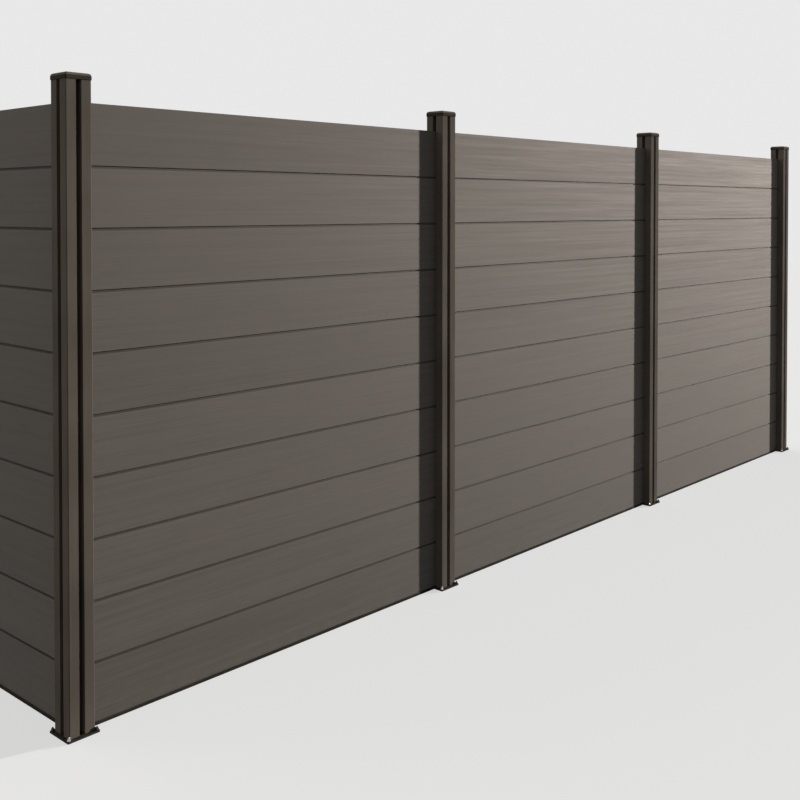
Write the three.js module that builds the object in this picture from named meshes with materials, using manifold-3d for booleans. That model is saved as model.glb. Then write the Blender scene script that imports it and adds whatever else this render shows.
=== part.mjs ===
// Garden privacy screen, built as an L: a long run of three bays and a return of one bay.
// Grooved composite boards are stacked between slotted aluminium posts. Every post stands
// on a bolted base plate and is closed by a cap whose legs plug into its corner chambers.
// Millimetres, +Z up. The origin is on the ground, on the axis of the corner post.
// The long run goes along +X and the return along +Y.
import * as THREE from 'three';
import { mergeVertices } from 'three/addons/utils/BufferGeometryUtils.js';
import Module from 'manifold-3d';

const wasm = await Module();
wasm.setup();

// Layout
const BAY = 1800;
const LONG_BAYS = 3;
const BOARDS_PER_BAY = 10;
const SEAT_GAP = 0.3;

// Boards, cut as tongue and groove. Each tongued edge is stepped back on both faces, which
// leaves an open shadow gap under the board above.
const BOARD_COVER = 200;
const BOARD_THICK = 18;
const BOARD_BEVEL = 1;
const TOP_EDGE_BEVEL = 1.5;
const JOINT_GAP = 5;
const JOINT_DEPTH = 4;
const TONGUE_HEIGHT = 7.5;
const TONGUE_ROOT = 6.6;
const TONGUE_TIP = 5;
const TONGUE_TIP_BEVEL = 1;
const GROOVE_DEPTH = 8.5;
const GROOVE_MOUTH = 7.2;
const GROOVE_TOP = 6;
const CHAMBERS = 5;
const CHAMBER_WIDTH = 10;
const CHAMBER_START = 14;
const CHAMBER_END = 191;
const CHAMBER_WEB = 5;

// Posts: a square extrusion with a slot down the middle of each face
const POST_SIZE = 90;
const POST_RISE = 67;
const POST_CORNER_R = 3;
const POST_WALL = 2.5;
const SLOT_WIDTH = 19;
const SLOT_DEPTH = 25;
const SLOT_LIP = 0.6;
const BOARD_INSERT = 20;
const PORT_INSET = 6.4;
const PORT_R = 2.4;
const PORT_WALL = 2.2;
const PORT_MOUTH = THREE.MathUtils.degToRad(80);
const CORNER_STEPS = 4;
const PORT_STEPS = 7;
const BOSS_STEPS = 2;

// Caps
const CAP_OVERHANG = 2.5;
const CAP_THICK = 21;
const CAP_CORNER_R = 5.5;
const CAP_EDGE_R = 9;
const CAP_EDGE_STEPS = 2;
const CAP_TOP_CORNER_R = 2;
const CAP_LEG = 18;
const CAP_LEG_WALL = 2.4;
const CAP_LEG_LENGTH = 16;
const CAP_LEG_CLEARANCE = 0.4;

// Base plates with their anchors, and the screws that run up into the ports of the post
const PLATE_SIZE = 115;
const PLATE_THICK = 6;
const PLATE_CORNER_R = 5;
const ANCHOR_INSET = 8;
const ANCHOR_R = 3;
const ANCHOR_TAIL = 5;
const NUT_ACROSS_FLATS = 10;
const NUT_HEIGHT = 5;
const WASHER_R = 6;
const WASHER_THICK = 1.6;
const SCREW_R = 2;
const SCREW_LENGTH = 18;
const SINK = 0.1;

// Bottom rail: a shallow channel resting on the base plates of two posts, with a skirt under
// each side that reaches down to the ground between the plates
const RAIL_WIDTH = 23;
const RAIL_HEIGHT = 6;
const RAIL_WALL = 1.8;
const RAIL_END_GAP = 1.5;

// Heights and half sizes that follow
const POST_HALF = POST_SIZE / 2;
const SLOT_HALF = SLOT_WIDTH / 2;
const RAIL_Z = PLATE_THICK + SEAT_GAP;
const BOARD_Z = RAIL_Z + RAIL_WALL + SEAT_GAP;
const POST_Z = PLATE_THICK + SEAT_GAP;
const POST_TOP = BOARD_Z + BOARDS_PER_BAY * BOARD_COVER + POST_RISE;
const BOARD_LENGTH = BAY - POST_SIZE + 2 * BOARD_INSERT;
const RAIL_LENGTH = BAY - POST_SIZE - 2 * RAIL_END_GAP;
const SKIRT_LENGTH = BAY - PLATE_SIZE - 2 * RAIL_END_GAP;
const SKIRT_DROP = RAIL_Z - SEAT_GAP;

const boardFinish = new THREE.MeshStandardMaterial({ color: 0x6b6660, roughness: 0.75, metalness: 0 });
const postFinish = new THREE.MeshStandardMaterial({ color: 0x58524c, roughness: 0.45, metalness: 0.4 });
const capFinish = new THREE.MeshStandardMaterial({ color: 0x3d3a36, roughness: 0.5, metalness: 0.4 });
const plateFinish = new THREE.MeshStandardMaterial({ color: 0x35322f, roughness: 0.5, metalness: 0.5 });
const railFinish = new THREE.MeshStandardMaterial({ color: 0x3f3c38, roughness: 0.5, metalness: 0.4 });

// A closed geometry as a solid that can be joined and cut
function solidOf(geometry) {
  const bare = geometry.clone();
  bare.deleteAttribute('normal');
  bare.deleteAttribute('uv');
  const merged = mergeVertices(bare, 1e-4);
  const vertProperties = Float32Array.from(merged.getAttribute('position').array);
  const triVerts = Uint32Array.from(merged.getIndex().array);
  return new wasm.Manifold(new wasm.Mesh({ numProp: 3, vertProperties, triVerts }));
}

function geometryOf(solid) {
  const mesh = solid.getMesh();
  const geometry = new THREE.BufferGeometry();
  geometry.setAttribute('position', new THREE.BufferAttribute(mesh.vertProperties, 3));
  geometry.setIndex(new THREE.BufferAttribute(mesh.triVerts, 1));
  geometry.computeVertexNormals();
  return geometry;
}

function extruded(shape, depth) {
  return new THREE.ExtrudeGeometry(shape, { depth, steps: 1, bevelEnabled: false });
}

// Points of an arc about a centre, both ends included
function arcPoints(cx, cy, radius, from, to, steps) {
  const points = [];
  for (let i = 0; i <= steps; i += 1) {
    const angle = from + ((to - from) * i) / steps;
    points.push(new THREE.Vector2(cx + radius * Math.cos(angle), cy + radius * Math.sin(angle)));
  }
  return points;
}

// The same run of points repeated on all four sides of a square section
function onFourSides(points) {
  const centre = new THREE.Vector2(0, 0);
  const all = [];
  for (let side = 0; side < 4; side += 1) {
    points.forEach((point) => all.push(point.clone().rotateAround(centre, (side * Math.PI) / 2)));
  }
  return all;
}

function roundedSquare(size, radius) {
  const inset = radius - size / 2;
  return onFourSides(arcPoints(inset, inset, radius, Math.PI, 1.5 * Math.PI, CORNER_STEPS));
}

// Outline of the post: a rounded corner, then the slot in the middle of the face
function postOutline() {
  const inset = POST_CORNER_R - POST_HALF;
  const floor = SLOT_DEPTH - POST_HALF;
  const side = arcPoints(inset, inset, POST_CORNER_R, Math.PI, 1.5 * Math.PI, CORNER_STEPS);
  side.push(
    new THREE.Vector2(-SLOT_HALF - SLOT_LIP, -POST_HALF),
    new THREE.Vector2(-SLOT_HALF, -POST_HALF + SLOT_LIP),
    new THREE.Vector2(-SLOT_HALF, floor),
    new THREE.Vector2(SLOT_HALF, floor),
    new THREE.Vector2(SLOT_HALF, -POST_HALF + SLOT_LIP),
    new THREE.Vector2(SLOT_HALF + SLOT_LIP, -POST_HALF),
  );
  return onFourSides(side);
}

// Hollow of one corner of the post, with an open screw port in its outer corner
function cornerChamber() {
  const near = SLOT_HALF + POST_WALL;
  const far = POST_HALF - POST_WALL;
  const port = POST_HALF - PORT_INSET;
  const boss = PORT_R + PORT_WALL;
  const meet = Math.acos((far - port) / boss);
  const mouthStart = 1.25 * Math.PI - PORT_MOUTH / 2 - 2 * Math.PI;
  const mouthEnd = mouthStart + PORT_MOUTH;
  const inner = mouthStart + 2 * Math.PI;
  return [
    new THREE.Vector2(near, near),
    new THREE.Vector2(far, near),
    ...arcPoints(port, port, boss, -meet, mouthEnd, BOSS_STEPS),
    ...arcPoints(port, port, PORT_R, mouthEnd, inner, PORT_STEPS),
    ...arcPoints(port, port, boss, inner, Math.PI / 2 + meet, BOSS_STEPS),
    new THREE.Vector2(near, far),
  ];
}

// Hollow of the middle of the post, between the floors of the four slots
function coreChamber() {
  const reach = POST_HALF - SLOT_DEPTH - POST_WALL;
  const waist = SLOT_HALF - POST_WALL;
  return onFourSides([
    new THREE.Vector2(-waist, -waist),
    new THREE.Vector2(-waist, -reach),
    new THREE.Vector2(waist, -reach),
  ]);
}

function postGeometry() {
  const shape = new THREE.Shape(postOutline());
  const centre = new THREE.Vector2(0, 0);
  for (let side = 0; side < 4; side += 1) {
    const turn = (side * Math.PI) / 2;
    const chamber = cornerChamber().map((point) => point.rotateAround(centre, turn));
    shape.holes.push(new THREE.Path(chamber));
  }
  shape.holes.push(new THREE.Path(coreChamber()));
  return extruded(shape, POST_TOP - POST_Z);
}

// Right half of a board's section, from the groove in its foot up to its top edge
function boardHalf(hasTongue) {
  const half = BOARD_THICK / 2;
  const top = BOARD_COVER - SEAT_GAP;
  const foot = [
    [GROOVE_TOP / 2, GROOVE_DEPTH],
    [GROOVE_MOUTH / 2, 0],
    [half - BOARD_BEVEL, 0],
    [half, BOARD_BEVEL],
  ];
  if (!hasTongue) {
    return [...foot, [half, top - TOP_EDGE_BEVEL], [half - TOP_EDGE_BEVEL, top]];
  }
  const ledge = top - JOINT_GAP;
  const tip = top + TONGUE_HEIGHT;
  return [
    ...foot,
    [half, ledge - BOARD_BEVEL],
    [half - BOARD_BEVEL, ledge],
    [half - JOINT_DEPTH, ledge],
    [half - JOINT_DEPTH, top],
    [TONGUE_ROOT / 2, top],
    [TONGUE_TIP / 2, tip - TONGUE_TIP_BEVEL],
    [TONGUE_TIP / 2 - TONGUE_TIP_BEVEL, tip],
  ];
}

// Section of a board, x across its thickness and y up its height
function boardShape(hasTongue) {
  const right = boardHalf(hasTongue);
  const left = right.map(([x, y]) => [-x, y]).reverse();
  const outline = [...right, ...left].map(([x, y]) => new THREE.Vector2(x, y));
  const shape = new THREE.Shape(outline);
  boardChambers().forEach((chamber) => shape.holes.push(chamber));
  return shape;
}

// The row of hollow chambers that runs the whole length of a board
function boardChambers() {
  const pitch = (CHAMBER_END - CHAMBER_START + CHAMBER_WEB) / CHAMBERS;
  const half = CHAMBER_WIDTH / 2;
  const chambers = [];
  for (let i = 0; i < CHAMBERS; i += 1) {
    const low = CHAMBER_START + i * pitch;
    const high = low + pitch - CHAMBER_WEB;
    const corners = [[-half, low], [half, low], [half, high], [-half, high]];
    chambers.push(new THREE.Path(corners.map(([x, y]) => new THREE.Vector2(x, y))));
  }
  return chambers;
}

function railShape() {
  const out = RAIL_WIDTH / 2;
  const inside = out - RAIL_WALL;
  const shape = new THREE.Shape();
  shape.moveTo(-out, 0);
  shape.lineTo(out, 0);
  shape.lineTo(out, RAIL_HEIGHT);
  shape.lineTo(inside, RAIL_HEIGHT);
  shape.lineTo(inside, RAIL_WALL);
  shape.lineTo(-inside, RAIL_WALL);
  shape.lineTo(-inside, RAIL_HEIGHT);
  shape.lineTo(-out, RAIL_HEIGHT);
  shape.closePath();
  return shape;
}

// The channel with its two skirts, along local z as it is extruded
function railGeometry() {
  const side = (RAIL_WIDTH - RAIL_WALL) / 2;
  const height = SKIRT_DROP + RAIL_WALL;
  let rail = solidOf(extruded(railShape(), RAIL_LENGTH));
  [-side, side].forEach((x) => {
    const skirt = new THREE.BoxGeometry(RAIL_WALL, height, SKIRT_LENGTH);
    skirt.translate(x, RAIL_WALL - height / 2, RAIL_LENGTH / 2);
    rail = rail.add(solidOf(skirt));
  });
  return geometryOf(rail);
}

// One L-shaped leg under the cap, in the quarter where x and y are positive
function capLegShape() {
  const low = SLOT_HALF + POST_WALL + CAP_LEG_CLEARANCE;
  const high = low + CAP_LEG;
  const inside = low + CAP_LEG_WALL;
  const shape = new THREE.Shape();
  shape.moveTo(low, low);
  shape.lineTo(high, low);
  shape.lineTo(high, inside);
  shape.lineTo(inside, inside);
  shape.lineTo(inside, high);
  shape.lineTo(low, high);
  shape.closePath();
  return shape;
}

// Lid of the cap: upright sides, then a rounded edge that runs over into the flat top
function capLid() {
  const size = POST_SIZE + 2 * CAP_OVERHANG;
  const points = [];
  const addRing = (inset, radius, z) => {
    roundedSquare(size - 2 * inset, radius).forEach((point) => points.push([point.x, point.y, z]));
  };
  addRing(0, CAP_CORNER_R, 0);
  for (let i = 0; i <= CAP_EDGE_STEPS; i += 1) {
    const turn = (i / CAP_EDGE_STEPS) * (Math.PI / 2);
    const share = 1 - Math.cos(turn);
    const radius = CAP_CORNER_R + (CAP_TOP_CORNER_R - CAP_CORNER_R) * share;
    addRing(CAP_EDGE_R * share, radius, CAP_THICK - CAP_EDGE_R * (1 - Math.sin(turn)));
  }
  return wasm.Manifold.hull(points);
}

// Cap: the lid with four legs, its underside at z = 0
function capGeometry() {
  let cap = capLid();
  for (let side = 0; side < 4; side += 1) {
    const leg = extruded(capLegShape(), CAP_LEG_LENGTH + SINK);
    leg.translate(0, 0, -CAP_LEG_LENGTH);
    leg.rotateZ((side * Math.PI) / 2);
    cap = cap.add(solidOf(leg));
  }
  return geometryOf(cap);
}

// An upright cylinder, or a prism where it has few sides, standing at height z
function upright(radius, height, sides, x, y, z) {
  const geometry = new THREE.CylinderGeometry(radius, radius, height, sides);
  geometry.rotateX(Math.PI / 2);
  geometry.translate(x, y, z + height / 2);
  return solidOf(geometry);
}

// Washer, nut and the end of the anchor, joined where they are clamped together
function anchor(x, y) {
  const washerTop = PLATE_THICK + WASHER_THICK;
  const nutTop = washerTop + NUT_HEIGHT;
  const nutR = NUT_ACROSS_FLATS / 2 / Math.cos(Math.PI / 6);
  return upright(WASHER_R, WASHER_THICK + SINK, 16, x, y, PLATE_THICK - SINK)
    .add(upright(nutR, NUT_HEIGHT + SINK, 6, x, y, washerTop - SINK))
    .add(upright(ANCHOR_R, ANCHOR_TAIL + SINK, 10, x, y, nutTop - SINK));
}

// Base plate with its four anchors and the four screws that hold the post
function basePlateGeometry() {
  const outline = new THREE.Shape(roundedSquare(PLATE_SIZE, PLATE_CORNER_R));
  let plate = solidOf(extruded(outline, PLATE_THICK));
  const anchorAt = PLATE_SIZE / 2 - ANCHOR_INSET;
  const screwAt = POST_HALF - PORT_INSET;
  [[1, 1], [-1, 1], [-1, -1], [1, -1]].forEach(([sx, sy]) => {
    plate = plate.add(anchor(sx * anchorAt, sy * anchorAt));
    const screw = upright(SCREW_R, SCREW_LENGTH + SINK, 8, sx * screwAt, sy * screwAt, PLATE_THICK - SINK);
    plate = plate.add(screw);
  });
  return geometryOf(plate);
}

function piece(name, geometry, material, z) {
  const mesh = new THREE.Mesh(geometry, material);
  mesh.name = name;
  mesh.position.z = z;
  return mesh;
}

// A length of section whose height is its local y, laid along +X with its start at x
function laidAlongX(name, geometry, material, x, z) {
  const mesh = piece(name, geometry, material, z);
  mesh.position.x = x;
  mesh.rotation.set(Math.PI / 2, Math.PI / 2, 0);
  return mesh;
}

function postStand(name, x, y) {
  const stand = new THREE.Group();
  stand.position.set(x, y, 0);
  stand.add(piece(`${name}_base_plate`, basePlateGeometry(), plateFinish, 0));
  stand.add(piece(`${name}_post`, postGeometry(), postFinish, POST_Z));
  stand.add(piece(`${name}_cap`, capGeometry(), capFinish, POST_TOP + SEAT_GAP));
  return stand;
}

// One bay of boards from the post at (x, y), turned about that post
function bay(name, x, y, turn) {
  const panel = new THREE.Group();
  panel.position.set(x, y, 0);
  panel.rotation.z = turn;
  const railX = POST_HALF + RAIL_END_GAP;
  panel.add(laidAlongX(`${name}_bottom_rail`, railGeometry(), railFinish, railX, RAIL_Z));
  for (let i = 0; i < BOARDS_PER_BAY; i += 1) {
    const label = String(i + 1).padStart(2, '0');
    const board = extruded(boardShape(i < BOARDS_PER_BAY - 1), BOARD_LENGTH);
    const z = BOARD_Z + i * BOARD_COVER;
    const boardX = POST_HALF - BOARD_INSERT;
    panel.add(laidAlongX(`${name}_board_${label}`, board, boardFinish, boardX, z));
  }
  return panel;
}

const group = new THREE.Group();
group.add(postStand('corner', 0, 0));
for (let i = 1; i <= LONG_BAYS; i += 1) {
  group.add(postStand(`long_${i}`, i * BAY, 0));
  group.add(bay(`bay_${i}`, (i - 1) * BAY, 0, 0));
}
group.add(postStand('return', 0, BAY));
group.add(bay('return_bay', 0, 0, Math.PI / 2));

export default group;
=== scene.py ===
"""Looks of the garden privacy screen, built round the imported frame.

Everything is in metres in the frame's own axes: the ground is z = 0, the corner post stands on the
origin, the long run goes along +X and the return along +Y.
"""

import math

import bmesh
import bpy
from mathutils import Matrix, Vector


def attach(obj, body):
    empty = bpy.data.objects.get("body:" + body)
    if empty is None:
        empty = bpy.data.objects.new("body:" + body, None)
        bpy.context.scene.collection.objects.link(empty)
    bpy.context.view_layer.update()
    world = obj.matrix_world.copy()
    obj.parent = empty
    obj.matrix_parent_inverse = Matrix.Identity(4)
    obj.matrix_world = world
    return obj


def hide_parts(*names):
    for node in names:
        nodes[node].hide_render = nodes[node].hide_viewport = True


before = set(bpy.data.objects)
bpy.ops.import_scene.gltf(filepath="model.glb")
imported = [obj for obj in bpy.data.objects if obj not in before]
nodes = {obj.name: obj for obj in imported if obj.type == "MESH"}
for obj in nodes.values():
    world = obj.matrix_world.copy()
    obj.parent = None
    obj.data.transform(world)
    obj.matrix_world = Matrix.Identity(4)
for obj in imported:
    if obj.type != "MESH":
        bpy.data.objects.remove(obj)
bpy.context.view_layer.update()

# Layout of the screen
BAY = 1.8
BOARDS_PER_BAY = 10
BOARD_COVER = 0.2
BOARD_Z = 0.0084
TOP_BOARD_Z = BOARD_Z + (BOARDS_PER_BAY - 1) * BOARD_COVER
JOINT_GAP = 0.0053
POSTS = {
    "corner": (0.0, 0.0),
    "long_1": (BAY, 0.0),
    "long_2": (2 * BAY, 0.0),
    "long_3": (3 * BAY, 0.0),
    "return": (0.0, BAY),
}

# Base plates and the screws that run up from them into the posts
CORNERS = [(1, 1), (-1, 1), (-1, -1), (1, -1)]
PLATE_SIZE = 0.115
PLATE_THICK = 0.006
PLATE_CORNER_R = 0.005
PLATE_CORNER_STEPS = 8
PLATE_TOP_EASE = 0.0008
PLATE_FOOT_EASE = 0.0003
EASE_MIDDLE = 0.3  # how far the middle of a rounded edge lies in from its faces, in widths of the edge
SCREW_AT = 0.0386
SCREW_R = 0.002
SCREW_LENGTH = 0.018
SCREW_TIP = 0.001
SCREW_SIDES = 12

# Anchors: a washer, a nut and a threaded end near each corner of a plate
# Only the anchor at this corner takes the lit zinc; the others take the darker copy, painted shade
LIT_CORNER = (-1, -1)
ANCHOR_AT = 0.0495
TOUCH = 0.00002
HOLE_R = 0.0035
WASHER_R = 0.006
WASHER_THICK = 0.0016
WASHER_EASE = 0.00025
WASHER_SIDES = 32
NUT_FLATS = 0.010
NUT_HEIGHT = 0.005
NUT_CHAMFER_R = 0.985 * NUT_FLATS / 2
NUT_CHAMFER_SLOPE = 0.55
NUT_BORE_EASE = 0.00055
NUT_SIDES = 48
STUD_R = 0.003
STUD_PLAY = 0.0001
STUD_START = 0.001
STUD_RISE = 0.005
STUD_TIP = 0.0008
STUD_TIP_SLOPE = 0.9
STUD_SIDES = 28
THREAD_PITCH = 0.001
THREAD_DEPTH = 0.00045
THREAD_ROWS = 6  # rows of points in one turn of the thread
TURN_BY_CORNER = 37  # degrees by which each nut is turned on from the one before
TURN_BY_POST = 11

# Rounding of the edges of the sections, and how far apart two faces must turn to get it
WELD_DISTANCE = 0.00001
EDGE_ANGLE = math.radians(28)
EDGE_STEPS = 2
BOARD_EDGE = 0.0006
POST_EDGE = 0.0005
CAP_EDGE = 0.0008
RAIL_EDGE = 0.0003

# The photograph's view
EYE = (-1.769, -3.037, 1.6715)
LOOK_DOWN = math.radians(1.155)
LOOK_RIGHT = math.radians(47.393)
LENS = 47.80
SENSOR = 36.0
SHIFT_Y = -0.2127

# Sun and sky
SUN_OFF_PLANE = math.radians(17.6)
SUN_HEIGHT = math.radians(12.5)
SUN_ANGLE = math.radians(2.0)
SUN_DISTANCE = 10.0
SUN_STRENGTH = 7.2
SUN_COLOUR = (1.0, 0.89, 0.79)
SKY_COLOUR = (1.0, 0.88, 0.75)
SKY_SUNNY_SIDE = 0.085
SKY_SHADY_SIDE = 0.63
SKY_BEHIND = 1.6
BEHIND_FROM = 0.3
BACKDROP = (0.81, 0.81, 0.81)

# Floor: as the camera sees it, and as it lights the object
FLOOR_SIZE = 60.0
FLOOR_DROP = 0.0004
FLOOR_SEEN = (0.76, 0.84, 0.93)
FLOOR_BOUNCE = (0.17, 0.165, 0.16)
FLOOR_GLOW = 0.72

# In all materials, a spot is the size of a noise's spots along three axes, levels are the values of a
# noise between which something sets in, and a bump is its height and its strength.

# Boards: the grain, with spots along the grain, through the board and up it
GRAIN_WANDER = 0.002
WANDER_SPOT = (0.55, 0.2, 0.07)
HAIR_SPOT = (0.16, 0.003, 0.0014)
STREAK_SPOT = (0.80, 0.02, 0.011)
BAND_SPOT = (1.3, 0.08, 0.030)
MOTTLE_SPOT = (0.22, 0.1, 0.11)
FIBRE_SPOT = (0.016, 0.002, 0.0009)
HAIR_SHARE = 0.40
STREAK_SHARE = 0.40
BAND_SHARE = 0.12
MOTTLE_SHARE = 0.08
TONE_SHARE = 0.10
SHADE_LEVELS = (0.30, 0.70)
FLECK_LEVELS = (0.66, 0.78)

# Boards: the tone's key steps by one from course to course
BAY_KEY = 17.0
RUN_KEY = 3.5
RETURN_KEY = 43.5

# Boards: painted shade with some dirt, and a painted highlight with some wear, at a joint, from the ledge
# of the gap down and from the next course's foot up
TOP_FADE = 0.001
GAP_SHADE_AND_DIRT = (0.0058, 0.0014)
FOOT_SHADE_AND_DIRT = (0.0004, 0.0016)
RUBBED_AND_LIT_EDGE = (0.0095, 0.0060)
SPLASH_HEIGHT = 0.16
SPLASH_SPOT = (0.05, 0.05, 0.03)
SPLASH_LEVELS = (0.35, 0.70)

# Boards: colours and how much each covers, and the surface
BOARD_DARK = (0.045, 0.042, 0.040)
BOARD_LIGHT = (0.100, 0.094, 0.089)
BOARD_FLECK = (0.034, 0.030, 0.026)
# At the joints: a lighter colour that is partly painted highlight, and a darker one that is partly
# painted shade
BOARD_RUBBED_AND_LIT = (0.125, 0.115, 0.105)
BOARD_SHADE_AND_DIRT = (0.010, 0.009, 0.008)
FLECK_COVER = 0.40
RUBBED_AND_LIT_COVER = 0.20
SHADE_AND_DIRT_COVER = 0.82
SPLASH_COVER = 0.05
BOARD_SPECULAR = 0.35
BOARD_ROUGH = 0.53
STREAK_ROUGH = 0.25
HAIR_ROUGH = 0.16
STREAK_BUMP = (0.0007, 0.55)
HAIR_BUMP = (0.0003, 0.6)

# Powder coats: dark tone, light tone, roughness and specular level
POST_COAT = ((0.076, 0.071, 0.066), (0.112, 0.105, 0.098), 0.86, 0.01)
CAP_COAT = ((0.027, 0.025, 0.022), (0.046, 0.042, 0.038), 0.84, 0.02)
PLATE_COAT = ((0.010, 0.009, 0.008), (0.018, 0.016, 0.014), 0.80, 0.02)
DIE_LINE_WIDTH = 0.0022
DIE_LINE_LENGTH = 0.9
CLOUD_SPOT = (0.12, 0.12, 0.3)
PEEL_SPOT = (0.0011, 0.0011, 0.0011)
DIE_SHARE = 0.35
CLOUD_SHARE = 0.65
COAT_LEVELS = (0.32, 0.68)
CLOUD_ROUGH = 0.14
DIE_BUMP = (0.00012, 0.35)
PEEL_BUMP = (0.00010, 0.30)

# Powder coats: worn edges, dust near the ground, and on the caps' up-facing tops a lighter film that is
# partly dust and partly painted highlight
EDGE_WEAR = (0.150, 0.138, 0.125)
WEAR_POINTINESS = (0.53, 0.60)
WEAR_LEVELS = (0.40, 0.62)
WEAR_COVER = 0.35
# This colour is dust near the ground and on the boards, and partly painted highlight on the caps' tops
DUST_AND_HIGHLIGHT = (0.240, 0.222, 0.198)
DUST_AND_HIGHLIGHT_SPOT = (0.03, 0.03, 0.02)
DUST_AND_HIGHLIGHT_LEVELS = (0.15, 0.55)
DUST_AND_HIGHLIGHT_THIN = 0.4
DUST_LOW = 0.07
DUST_LOW_HEIGHT = 0.12
DUST_AND_HIGHLIGHT_ON_CAP = 0.55
CAP_HEIGHTS = (1.9, 2.0)
FACING_UP = (0.10, 0.60)
DUST_ROUGH = 0.2

# Zinc: dark tone, light tone and white rust
# Lit and shaded copies of one zinc: the shaded copy is painted shade
LIT_ZINC = ((0.42, 0.41, 0.39), (0.68, 0.67, 0.64), (0.52, 0.51, 0.49))
SHADED_ZINC = ((0.030, 0.028, 0.026), (0.075, 0.070, 0.064), (0.110, 0.104, 0.096))
SPANGLE_SPOT = (0.004, 0.004, 0.004)
SCRATCH_SPOT = (0.006, 0.0006, 0.0006)
RUST_SPOT = (0.009, 0.009, 0.009)
RUST_LEVELS = (0.55, 0.72)
RUST_COVER = 0.5
RUST_METAL_LOSS = 0.35
ZINC_ROUGH = 0.24
SPANGLE_ROUGH = 0.18
RUST_ROUGH = 0.25
SCRATCH_BUMP = (0.00005, 0.4)


# --- node helpers ---------------------------------------------------------------------------------

class Tree:
    """Short ways to write a node tree. A socket or a plain value may be given to any input."""

    def __init__(self, owner):
        owner.use_nodes = True
        self.tree = owner.node_tree
        self.tree.nodes.clear()

    def add(self, kind, inputs=None, **settings):
        made = self.tree.nodes.new(kind)
        for key, value in settings.items():
            setattr(made, key, value)
        for key, value in (inputs or {}).items():
            self.feed(made.inputs[key], value)
        return made

    def feed(self, socket, value):
        if isinstance(value, bpy.types.NodeSocket):
            self.tree.links.new(value, socket)
        elif socket.type == "RGBA":
            socket.default_value = (*value, 1.0)
        else:
            socket.default_value = value

    def maths(self, operation, a, b=0.0, c=0.0):
        return self.add("ShaderNodeMath", {0: a, 1: b, 2: c}, operation=operation).outputs[0]

    def ramp(self, value, low, high, to_low=0.0, to_high=1.0, smooth=True):
        kind = "SMOOTHSTEP" if smooth else "LINEAR"
        inputs = {"Value": value, "From Min": low, "From Max": high, "To Min": to_low, "To Max": to_high}
        return self.add("ShaderNodeMapRange", inputs, interpolation_type=kind).outputs[0]

    def mix(self, factor, a, b):
        return self.add("ShaderNodeMix", {0: factor, 6: a, 7: b}, data_type="RGBA").outputs[2]

    def noise(self, axes, spot, detail=2.0, rough=0.5):
        scaled = [self.maths("MULTIPLY", axis, 1.0 / size) for axis, size in zip(axes, spot)]
        where = self.add("ShaderNodeCombineXYZ", dict(enumerate(scaled))).outputs[0]
        inputs = {"Vector": where, "Scale": 1.0, "Detail": detail, "Roughness": rough}
        return self.add("ShaderNodeTexNoise", inputs).outputs[0]

    def position(self):
        coordinates = self.add("ShaderNodeTexCoord").outputs["Object"]
        return self.add("ShaderNodeSeparateXYZ", {0: coordinates}).outputs

    def bump(self, pattern, height, strength, below=None):
        inputs = {"Height": pattern, "Distance": height, "Strength": strength}
        if below is not None:
            inputs["Normal"] = below
        return self.add("ShaderNodeBump", inputs).outputs[0]

    def surface(self, **inputs):
        named = {key.replace("_", " "): value for key, value in inputs.items()}
        shader = self.add("ShaderNodeBsdfPrincipled", named)
        self.add("ShaderNodeOutputMaterial", {"Surface": shader.outputs[0]})


def new_material(name):
    material = bpy.data.materials.new(name)
    return material, Tree(material)


# --- materials ------------------------------------------------------------------------------------

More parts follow.
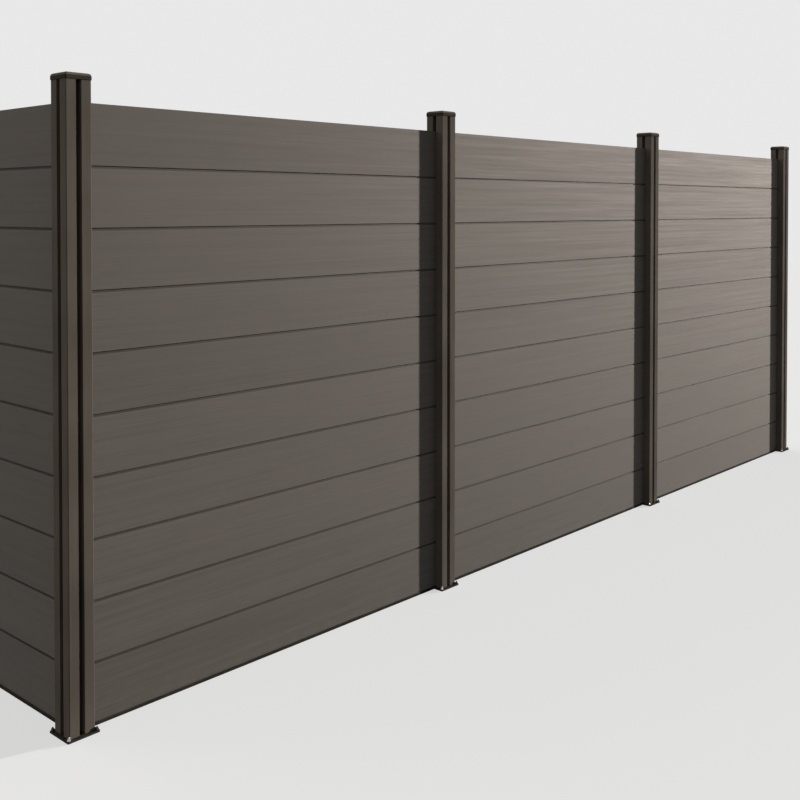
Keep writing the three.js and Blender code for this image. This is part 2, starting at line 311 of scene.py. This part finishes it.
def board_material(name, along, seed):
    """Brushed wood composite. The grain runs along X (0) or along Y (1)."""
    material, t = new_material(name)
    place = t.position()
    run, depth, height = place[along], place[1 - along], place[2]

    # The grain lines wander a little up and down on their way along the board
    wander = t.noise((run, depth, height), WANDER_SPOT, detail=1.0)
    line = t.maths("MULTIPLY_ADD", wander, GRAIN_WANDER, height)
    hair = t.noise((run, depth, line), HAIR_SPOT, rough=0.65)
    streak = t.noise((run, depth, line), STREAK_SPOT, detail=3.0, rough=0.6)
    band = t.noise((run, depth, line), BAND_SPOT)
    mottle = t.noise((run, depth, height), MOTTLE_SPOT, detail=3.0)
    fibre = t.noise((run, depth, line), FIBRE_SPOT, detail=1.0)
    flecks = t.ramp(fibre, *FLECK_LEVELS)

    # Each board has its own tone, from its bay and its course
    courses_up = t.maths("MULTIPLY", t.maths("SUBTRACT", height, BOARD_Z), 1.0 / BOARD_COVER)
    course = t.maths("FLOOR", courses_up)
    bay = t.maths("FLOOR", t.maths("MULTIPLY", run, 1.0 / BAY))
    key = t.maths("ADD", t.maths("MULTIPLY_ADD", bay, BAY_KEY, course), seed)
    tone = t.add("ShaderNodeTexWhiteNoise", {"W": key}, noise_dimensions="1D").outputs["Value"]

    # Painted shade with some dirt darkens the open gap of a joint and the foot of the board above it, and
    # a painted highlight with some wear lightens the edge under the gap
    within = t.maths("MULTIPLY", t.maths("FRACT", courses_up), BOARD_COVER)
    ledge = BOARD_COVER - JOINT_GAP
    below_top = t.ramp(height, TOP_BOARD_Z - TOP_FADE, TOP_BOARD_Z, 1.0, 0.0)
    gap_shade_and_dirt = t.maths("MULTIPLY", t.ramp(within, *[ledge - down for down in GAP_SHADE_AND_DIRT]), below_top)
    shade_and_dirt = t.maths("MAXIMUM", gap_shade_and_dirt, t.ramp(within, *FOOT_SHADE_AND_DIRT, 1.0, 0.0))
    rubbed_and_lit = t.maths("MULTIPLY", t.ramp(within, *[ledge - down for down in RUBBED_AND_LIT_EDGE]), below_top)

    value = t.maths("MULTIPLY_ADD", hair, HAIR_SHARE, t.maths("MULTIPLY", streak, STREAK_SHARE))
    value = t.maths("MULTIPLY_ADD", band, BAND_SHARE, value)
    value = t.maths("MULTIPLY_ADD", mottle, MOTTLE_SHARE, value)
    value = t.maths("MULTIPLY_ADD", t.maths("SUBTRACT", tone, 0.5), TONE_SHARE, value)
    colour = t.mix(t.ramp(value, *SHADE_LEVELS, smooth=False), BOARD_DARK, BOARD_LIGHT)
    colour = t.mix(t.maths("MULTIPLY", flecks, FLECK_COVER), colour, BOARD_FLECK)
    colour = t.mix(t.maths("MULTIPLY", rubbed_and_lit, RUBBED_AND_LIT_COVER), colour, BOARD_RUBBED_AND_LIT)
    colour = t.mix(t.maths("MULTIPLY", shade_and_dirt, SHADE_AND_DIRT_COVER), colour, BOARD_SHADE_AND_DIRT)

    # Rain splash leaves a dusty film near the ground
    patch = t.noise((run, depth, height), SPLASH_SPOT, detail=3.0, rough=0.6)
    near_ground = t.ramp(height, 0.0, SPLASH_HEIGHT, 1.0, 0.0)
    overlay = t.maths("MULTIPLY", near_ground, t.ramp(patch, *SPLASH_LEVELS))
    colour = t.mix(t.maths("MULTIPLY", overlay, SPLASH_COVER), colour, DUST_AND_HIGHLIGHT)

    rough = t.maths("MULTIPLY_ADD", streak, STREAK_ROUGH, t.maths("MULTIPLY", hair, HAIR_ROUGH))
    rough = t.maths("ADD", rough, BOARD_ROUGH)
    normal = t.bump(streak, *STREAK_BUMP)
    normal = t.bump(hair, *HAIR_BUMP, below=normal)
    t.surface(Base_Color=colour, Roughness=rough, Normal=normal, Specular_IOR_Level=BOARD_SPECULAR)
    return material


def coated_material(name, dark, light, roughness, specular, along=2):
    """Powder-coated aluminium: faint die lines along the section and a fine orange-peel skin."""
    material, t = new_material(name)
    place = t.position()
    line_spot = [DIE_LINE_LENGTH if axis == along else DIE_LINE_WIDTH for axis in range(3)]
    die = t.noise(place, line_spot)
    cloud = t.noise(place, CLOUD_SPOT, detail=3.0)
    peel = t.noise(place, PEEL_SPOT, detail=1.0)
    value = t.maths("MULTIPLY_ADD", die, DIE_SHARE, t.maths("MULTIPLY", cloud, CLOUD_SHARE))
    colour = t.mix(t.ramp(value, *COAT_LEVELS, smooth=False), dark, light)

    # Worn edges show a paler coat
    geometry = t.add("ShaderNodeNewGeometry").outputs
    sharp = t.ramp(geometry["Pointiness"], *WEAR_POINTINESS)
    worn = t.maths("MULTIPLY", sharp, t.ramp(cloud, *WEAR_LEVELS))
    colour = t.mix(t.maths("MULTIPLY", worn, WEAR_COVER), colour, EDGE_WEAR)

    # Dust gathers near the ground; the caps' up-facing tops get a lighter film, partly dust and partly
    # painted highlight
    facing = t.add("ShaderNodeSeparateXYZ", {0: geometry["True Normal"]}).outputs[2]
    patch = t.noise(place, DUST_AND_HIGHLIGHT_SPOT, detail=3.0, rough=0.6)
    low = t.ramp(place[2], 0.0, DUST_LOW_HEIGHT, DUST_LOW, 0.0)
    on_cap = t.ramp(place[2], *CAP_HEIGHTS, 0.0, DUST_AND_HIGHLIGHT_ON_CAP)
    lying_and_lit = t.maths("MULTIPLY", t.ramp(facing, *FACING_UP), on_cap)
    overlay = t.maths("MULTIPLY", t.maths("ADD", low, lying_and_lit), t.ramp(patch, *DUST_AND_HIGHLIGHT_LEVELS, DUST_AND_HIGHLIGHT_THIN, 1.0))
    colour = t.mix(overlay, colour, DUST_AND_HIGHLIGHT)

    rough = t.maths("MULTIPLY_ADD", cloud, CLOUD_ROUGH, roughness - CLOUD_ROUGH / 2)
    rough = t.maths("MULTIPLY_ADD", overlay, DUST_ROUGH, rough)
    normal = t.bump(die, *DIE_BUMP)
    normal = t.bump(peel, *PEEL_BUMP, below=normal)
    t.surface(Base_Color=colour, Roughness=rough, Normal=normal, Specular_IOR_Level=specular)
    return material


def zinc_material(name, dark, light, rusted):
    """Zinc-plated steel with dull patches of white rust."""
    material, t = new_material(name)
    place = t.position()
    spangle = t.noise(place, SPANGLE_SPOT, detail=3.0, rough=0.6)
    scratch = t.noise(place, SCRATCH_SPOT)
    rust = t.ramp(t.noise(place, RUST_SPOT, detail=3.0), *RUST_LEVELS)
    colour = t.mix(spangle, dark, light)
    colour = t.mix(t.maths("MULTIPLY", rust, RUST_COVER), colour, rusted)
    rough = t.maths("MULTIPLY_ADD", spangle, SPANGLE_ROUGH, ZINC_ROUGH)
    rough = t.maths("MULTIPLY_ADD", rust, RUST_ROUGH, rough)
    metallic = t.maths("MULTIPLY_ADD", rust, -RUST_METAL_LOSS, 1.0)
    normal = t.bump(scratch, *SCRATCH_BUMP)
    t.surface(Base_Color=colour, Roughness=rough, Metallic=metallic, Normal=normal)
    return material


# --- meshes ---------------------------------------------------------------------------------------

def object_of(name, mesh_data, material):
    """A new piece from a bmesh, riding on the one body."""
    mesh = bpy.data.meshes.new(name)
    bmesh.ops.recalc_face_normals(mesh_data, faces=mesh_data.faces)
    mesh_data.to_mesh(mesh)
    mesh_data.free()
    mesh.materials.append(material)
    piece = bpy.data.objects.new(name, mesh)
    bpy.context.scene.collection.objects.link(piece)
    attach(piece, "root")
    return piece


def ring(bm, centre, sides, shape, phase=0.0):
    """Points round a centre. The shape gives the radius and the height at an angle."""
    made = []
    for i in range(sides):
        angle = 2 * math.pi * i / sides
        radius, z = shape(angle)
        x = centre[0] + radius * math.cos(angle + phase)
        y = centre[1] + radius * math.sin(angle + phase)
        made.append(bm.verts.new((x, y, z)))
    return made


def circle(bm, centre, sides, radius, z, phase=0.0):
    return ring(bm, centre, sides, lambda angle: (radius, z), phase)


def skin(bm, rings, loop=False):
    """Faces between rings of equally many points. Both ends are filled, unless the rings form a loop."""
    following = rings[1:] + rings[:1] if loop else rings[1:]
    for low, high in zip(rings, following):
        for i in range(len(low)):
            j = (i + 1) % len(low)
            bm.faces.new((low[i], low[j], high[j], high[i]))
    if not loop:
        bm.faces.new(rings[0][::-1])
        bm.faces.new(rings[-1])


def rounded_square(bm, size, radius, z):
    """Points round a square on the origin, with an arc at each corner."""
    middle = size / 2 - radius
    made = []
    for corner in range(4):
        turn = Matrix.Rotation(math.radians(90 * corner), 3, "Z")
        for i in range(PLATE_CORNER_STEPS + 1):
            angle = math.radians(90) * i / PLATE_CORNER_STEPS
            point = Vector((middle + radius * math.cos(angle), middle + radius * math.sin(angle), z))
            made.append(bm.verts.new(turn @ point))
    return made


def washer(bm, centre, z):
    """A flat washer with eased edges: its section, carried round the hole."""
    ease = WASHER_EASE
    section = [(HOLE_R, ease), (HOLE_R + ease, 0), (WASHER_R - ease, 0), (WASHER_R, ease),
               (WASHER_R, WASHER_THICK - ease), (WASHER_R - ease, WASHER_THICK),
               (HOLE_R + ease, WASHER_THICK), (HOLE_R, WASHER_THICK - ease)]
    skin(bm, [circle(bm, centre, WASHER_SIDES, r, z + h) for r, h in section], loop=True)


def nut(bm, centre, z, phase):
    """A hexagon nut: a hexagonal prism whose corners are cut back by a cone at both ends."""
    top = z + NUT_HEIGHT

    def round_ring(radius, at):
        return circle(bm, centre, NUT_SIDES, radius, at, phase)

    def hexagon(end, inwards):
        def shape(angle):
            from_flat = (angle + math.pi / 6) % (math.pi / 3) - math.pi / 6
            radius = NUT_FLATS / 2 / math.cos(from_flat)
            return radius, end + inwards * NUT_CHAMFER_SLOPE * (radius - NUT_CHAMFER_R)
        return ring(bm, centre, NUT_SIDES, shape, phase)

    skin(bm, [
        round_ring(STUD_R, z + NUT_BORE_EASE),
        round_ring(STUD_R + NUT_BORE_EASE, z),
        round_ring(NUT_CHAMFER_R, z),
        hexagon(z, 1),
        hexagon(top, -1),
        round_ring(NUT_CHAMFER_R, top),
        round_ring(STUD_R + NUT_BORE_EASE, top),
        round_ring(STUD_R, top - NUT_BORE_EASE),
    ], loop=True)


def stud(bm, centre, low, high, phase):
    """The threaded end of an anchor. Its thread is a true helix that fades out on the chamfered tip."""
    def radius(angle, z):
        turn = (z / THREAD_PITCH - angle / (2 * math.pi)) % 1.0
        cut = THREAD_DEPTH * abs(2 * turn - 1) * min(1.0, (high - z) / STUD_TIP)
        on_tip = max(0.0, z - (high - STUD_TIP))
        return STUD_R - STUD_PLAY - cut - STUD_TIP_SLOPE * on_tip

    rows = round((high - low) / THREAD_PITCH * THREAD_ROWS)
    heights = [low + (high - low) * row / rows for row in range(rows + 1)]
    skin(bm, [ring(bm, centre, STUD_SIDES, lambda angle: (radius(angle, z), z), phase) for z in heights])


def base_plate(name, place, material):
    """The plate with eased edges and the four screws that run up into the post."""
    bm = bmesh.new()
    part_way = EASE_MIDDLE * PLATE_TOP_EASE
    levels = [(0.0, PLATE_FOOT_EASE), (PLATE_FOOT_EASE, 0.0), (PLATE_THICK - PLATE_TOP_EASE, 0.0),
              (PLATE_THICK - part_way, part_way), (PLATE_THICK, PLATE_TOP_EASE)]
    skin(bm, [rounded_square(bm, PLATE_SIZE - 2 * inset, PLATE_CORNER_R - inset, z)
              for z, inset in levels])
    screw_top = PLATE_THICK + SCREW_LENGTH
    outline = [(SCREW_R, PLATE_THICK + TOUCH), (SCREW_R, screw_top - SCREW_TIP), (SCREW_R / 2, screw_top)]
    for sx, sy in CORNERS:
        centre = (sx * SCREW_AT, sy * SCREW_AT)
        skin(bm, [circle(bm, centre, SCREW_SIDES, r, z) for r, z in outline])
    bmesh.ops.translate(bm, verts=bm.verts, vec=(place[0], place[1], 0))
    piece = object_of(f"{name}_plate", bm, material)
    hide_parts(f"{name}_base_plate")


def anchors(name, place, lit_copy, shaded_copy, turn):
    """Four washers, nuts and threaded ends on one plate, each nut stopped at its own angle.

    The one at the front left corner takes the lit zinc, and the other three take a darker copy of it,
    painted shade.
    """
    bm = bmesh.new()
    for index, (sx, sy) in enumerate(CORNERS):
        centre = (place[0] + sx * ANCHOR_AT, place[1] + sy * ANCHOR_AT)
        phase = math.radians(turn + TURN_BY_CORNER * index)
        built = len(bm.faces)
        washer(bm, centre, PLATE_THICK + TOUCH)
        nut_z = PLATE_THICK + WASHER_THICK + 2 * TOUCH
        nut(bm, centre, nut_z, phase)
        stud(bm, centre, nut_z + STUD_START, nut_z + NUT_HEIGHT + STUD_RISE, phase)
        bm.faces.ensure_lookup_table()
        for face in bm.faces[built:]:
            face.material_index = 0 if (sx, sy) == LIT_CORNER else 1
    piece = object_of(f"{name}_anchors", bm, lit_copy)
    piece.data.materials.append(shaded_copy)
    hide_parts(f"{name}_base_plate")


def ease_edges(node, width):
    """Rounds the section's edges. The frame's own points stay as they are."""
    weld = node.modifiers.new("weld", "WELD")
    weld.merge_threshold = WELD_DISTANCE
    bevel = node.modifiers.new("ease", "BEVEL")
    bevel.width = width
    bevel.segments = EDGE_STEPS
    bevel.limit_method = "ANGLE"
    bevel.angle_limit = EDGE_ANGLE
    bevel.use_clamp_overlap = True
    bevel.harden_normals = True


def dress(node, material, width):
    node.data.materials.clear()
    node.data.materials.append(material)
    ease_edges(node, width)


# --- surroundings ---------------------------------------------------------------------------------

def backdrop_switch(t):
    """1 where the ray comes from the camera, from gloss or through glass."""
    path = t.add("ShaderNodeLightPath").outputs
    seen = t.maths("MAXIMUM", path["Is Camera Ray"], path["Is Glossy Ray"])
    return t.maths("MAXIMUM", seen, path["Is Transmission Ray"])


def make_world():
    """A sky that is weak on the sun's side and stronger opposite, with more light behind the run."""
    world = bpy.data.worlds.new("studio")
    bpy.context.scene.world = world
    t = Tree(world)
    coordinates = t.add("ShaderNodeTexCoord").outputs["Generated"]
    direction = t.add("ShaderNodeSeparateXYZ", {0: coordinates}).outputs
    shady = t.maths("SUBTRACT", direction[1], direction[0])
    strength = t.ramp(shady, -1.0, 1.0, SKY_SUNNY_SIDE, SKY_SHADY_SIDE)
    strength = t.maths("ADD", strength, t.ramp(direction[1], BEHIND_FROM, 1.0, 0.0, SKY_BEHIND))
    sky = t.add("ShaderNodeBackground", {"Color": SKY_COLOUR, "Strength": strength})
    seen = t.add("ShaderNodeBackground", {"Color": BACKDROP, "Strength": 1.0})
    shaders = {0: backdrop_switch(t), 1: sky.outputs[0], 2: seen.outputs[0]}
    mixed = t.add("ShaderNodeMixShader", shaders)
    t.add("ShaderNodeOutputWorld", {"Surface": mixed.outputs[0]})


def make_floor():
    """A plane that looks pale but throws little light up. It keeps the object's shadow."""
    bm = bmesh.new()
    half = FLOOR_SIZE / 2
    outline = [(-half, -half), (half, -half), (half, half), (-half, half)]
    bm.faces.new([bm.verts.new((x, y, -FLOOR_DROP)) for x, y in outline])
    mesh = bpy.data.meshes.new("floor")
    bm.to_mesh(mesh)
    bm.free()
    floor = bpy.data.objects.new("floor", mesh)
    bpy.context.scene.collection.objects.link(floor)
    material, t = new_material("floor")
    switch = backdrop_switch(t)
    lit = t.add("ShaderNodeBsdfDiffuse", {"Color": t.mix(switch, FLOOR_BOUNCE, FLOOR_SEEN)})
    glow = t.add("ShaderNodeEmission", {"Color": BACKDROP, "Strength": 1.0})
    share = t.maths("MULTIPLY", switch, FLOOR_GLOW)
    mixed = t.add("ShaderNodeMixShader", {0: share, 1: lit.outputs[0], 2: glow.outputs[0]})
    t.add("ShaderNodeOutputMaterial", {"Surface": mixed.outputs[0]})
    mesh.materials.append(material)


def make_sun():
    """A low sun at the right of the camera, nearly in the plane of the long run."""
    data = bpy.data.lights.new("sun", "SUN")
    data.energy = SUN_STRENGTH
    data.color = SUN_COLOUR
    data.angle = SUN_ANGLE
    sun = bpy.data.objects.new("sun", data)
    bpy.context.scene.collection.objects.link(sun)
    towards = Vector((math.cos(SUN_OFF_PLANE) * math.cos(SUN_HEIGHT),
                      -math.sin(SUN_OFF_PLANE) * math.cos(SUN_HEIGHT), math.sin(SUN_HEIGHT)))
    sun.rotation_euler = towards.to_track_quat("Z", "Y").to_euler()
    sun.location = towards * SUN_DISTANCE


def make_camera():
    data = bpy.data.cameras.new("camera")
    data.sensor_width = SENSOR
    data.lens = LENS
    data.shift_y = SHIFT_Y
    camera = bpy.data.objects.new("camera", data)
    bpy.context.scene.collection.objects.link(camera)
    camera.location = EYE
    camera.rotation_euler = (math.pi / 2 - LOOK_DOWN, 0.0, -LOOK_RIGHT)
    bpy.context.scene.camera = camera


make_camera()
make_world()
make_floor()
make_sun()

board_long = board_material("board_long", 0, RUN_KEY)
board_return = board_material("board_return", 1, RETURN_KEY)
post_coat = coated_material("post_coat", *POST_COAT)
cap_coat = coated_material("cap_coat", *CAP_COAT)
# The rails take the plates' near-black coat: partly their own dark colour, partly painted shade along the
# foot of the boards
rail_long = coated_material("rail_long", *PLATE_COAT, along=0)
rail_return = coated_material("rail_return", *PLATE_COAT, along=1)
plate_coat = coated_material("plate_coat", *PLATE_COAT, along=0)
lit_zinc = zinc_material("lit_zinc", *LIT_ZINC)
shaded_zinc = zinc_material("shaded_zinc", *SHADED_ZINC)

for name, node in nodes.items():
    in_return = name.startswith("return_bay")
    if "_board_" in name:
        dress(node, board_return if in_return else board_long, BOARD_EDGE)
    elif name.endswith("_rail"):
        dress(node, rail_return if in_return else rail_long, RAIL_EDGE)
    elif name.endswith("_post"):
        dress(node, post_coat, POST_EDGE)
    elif name.endswith("_cap"):
        dress(node, cap_coat, CAP_EDGE)

for index, (name, place) in enumerate(POSTS.items()):
    base_plate(name, place, plate_coat)
    anchors(name, place, lit_zinc, shaded_zinc, TURN_BY_POST * index)

scene = bpy.context.scene
scene.view_settings.view_transform = "Standard"
